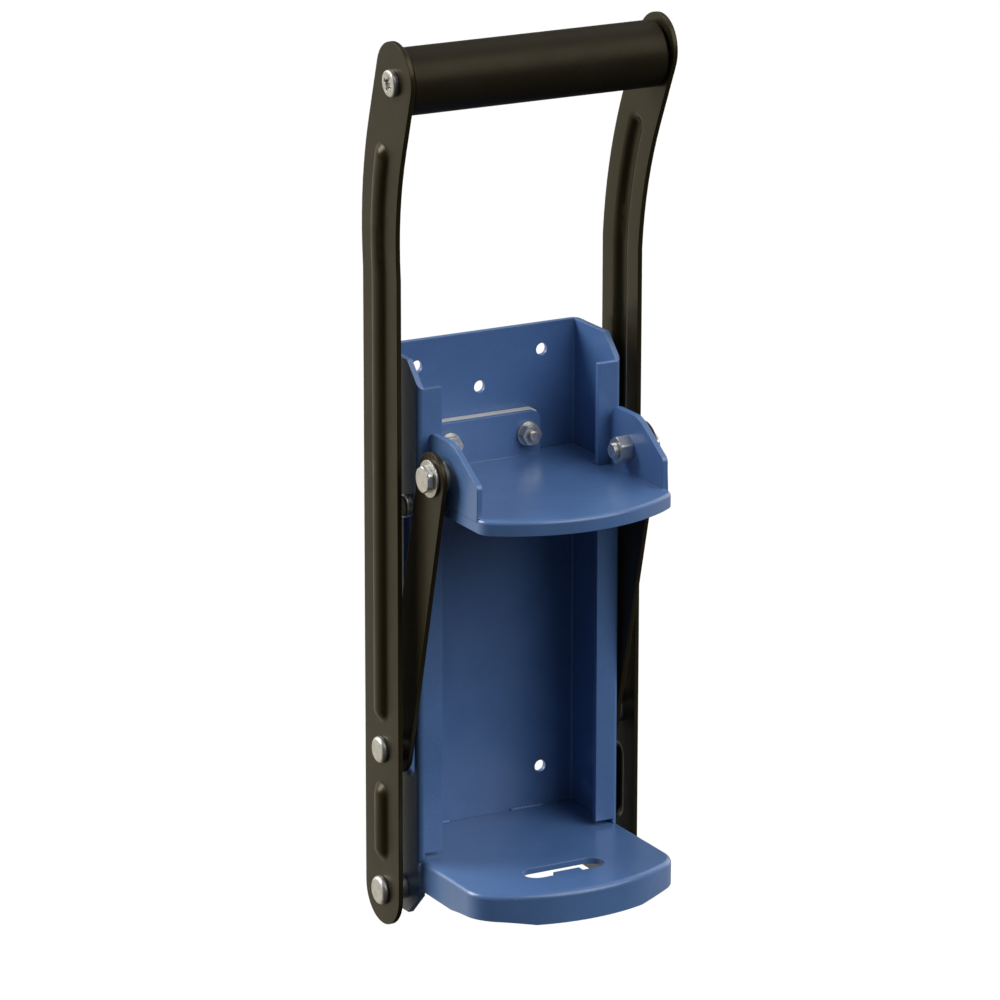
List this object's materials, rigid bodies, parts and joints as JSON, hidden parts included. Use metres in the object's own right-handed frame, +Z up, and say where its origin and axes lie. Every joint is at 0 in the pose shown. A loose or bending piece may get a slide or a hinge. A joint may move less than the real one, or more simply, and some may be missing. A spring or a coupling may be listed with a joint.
{
  "type": "can crusher",
  "caption": "Wall-mounted lever can crusher: a sheet channel with a can tray and bottle-cap slot, a sliding press head on two links and a two-armed lever with a tube grip.",
  "frame": {"origin": "centre of the rectangle of four wall screw holes, on the wall face of the back plate", "axes": "+X to the user's right, -Y out of the wall towards the user, +Z up"},
  "size_m": [0.1234, 0.098, 0.3679],
  "materials": {
    "frame_paint": "satin blue enamel",
    "lever_paint": "satin near-black enamel",
    "grip_finish": "satin near-black enamel on tube",
    "zinc": "bright zinc plate",
    "nylon": "natural nylon",
    "black_plastic": "moulded black plastic"
  },
  "bodies": {
    "frame": {"frame_channel": "frame_paint", "can_tray": "frame_paint", "lever_pivot_bolts": "zinc", "lever_pivot_spacers": "zinc", "lever_pivot_nuts": "zinc"},
    "lever": {"right_arm": "lever_paint", "left_arm": "lever_paint", "grip_tube": "grip_finish", "grip_plugs": "black_plastic", "grip_screws": "zinc", "arm_link_rivets": "zinc"},
    "head": {"press_head": "frame_paint", "rear_guide_pad": "nylon", "rear_guide_screws": "zinc", "rear_guide_washers": "zinc", "rear_guide_nuts": "zinc", "guide_bolts": "zinc", "guide_bushes": "nylon", "guide_nuts": "zinc", "head_pivot_bolts": "zinc", "head_pivot_washers": "zinc", "head_pivot_spacers": "zinc", "head_pivot_nuts": "zinc"},
    "right_link_body": {"right_link": "lever_paint", "right_link_bush": "zinc"},
    "left_link_body": {"left_link": "lever_paint", "left_link_bush": "zinc"}
  },
  "joints": [
    {"name": "lever_swing", "type": "hinge", "parent": "frame", "child": "lever", "pos_m": [0, -0.022, -0.122], "axis": [1, 0, 0], "range_deg": [0, 150]},
    {"name": "head_slide", "type": "slide", "parent": "frame", "child": "head", "axis": [0, 0, 1], "range_m": [-0.1085, 0]},
    {"name": "right_link_pivot", "type": "hinge", "parent": "head", "child": "right_link_body", "pos_m": [0.048, -0.0515, 0.058], "axis": [1, 0, 0], "range_deg": [-14.75, 0]},
    {"name": "left_link_pivot", "type": "hinge", "parent": "head", "child": "left_link_body", "pos_m": [-0.048, -0.0515, 0.058], "axis": [1, 0, 0], "range_deg": [-14.75, 0]}
  ],
  "couplings": [
    {"joint": "head_slide", "follows": "lever_swing", "m_per_rad": -0.041402},
    {"joint": "right_link_pivot", "follows": "lever_swing", "ratio": -0.098},
    {"joint": "left_link_pivot", "follows": "lever_swing", "ratio": -0.098}
  ]
}
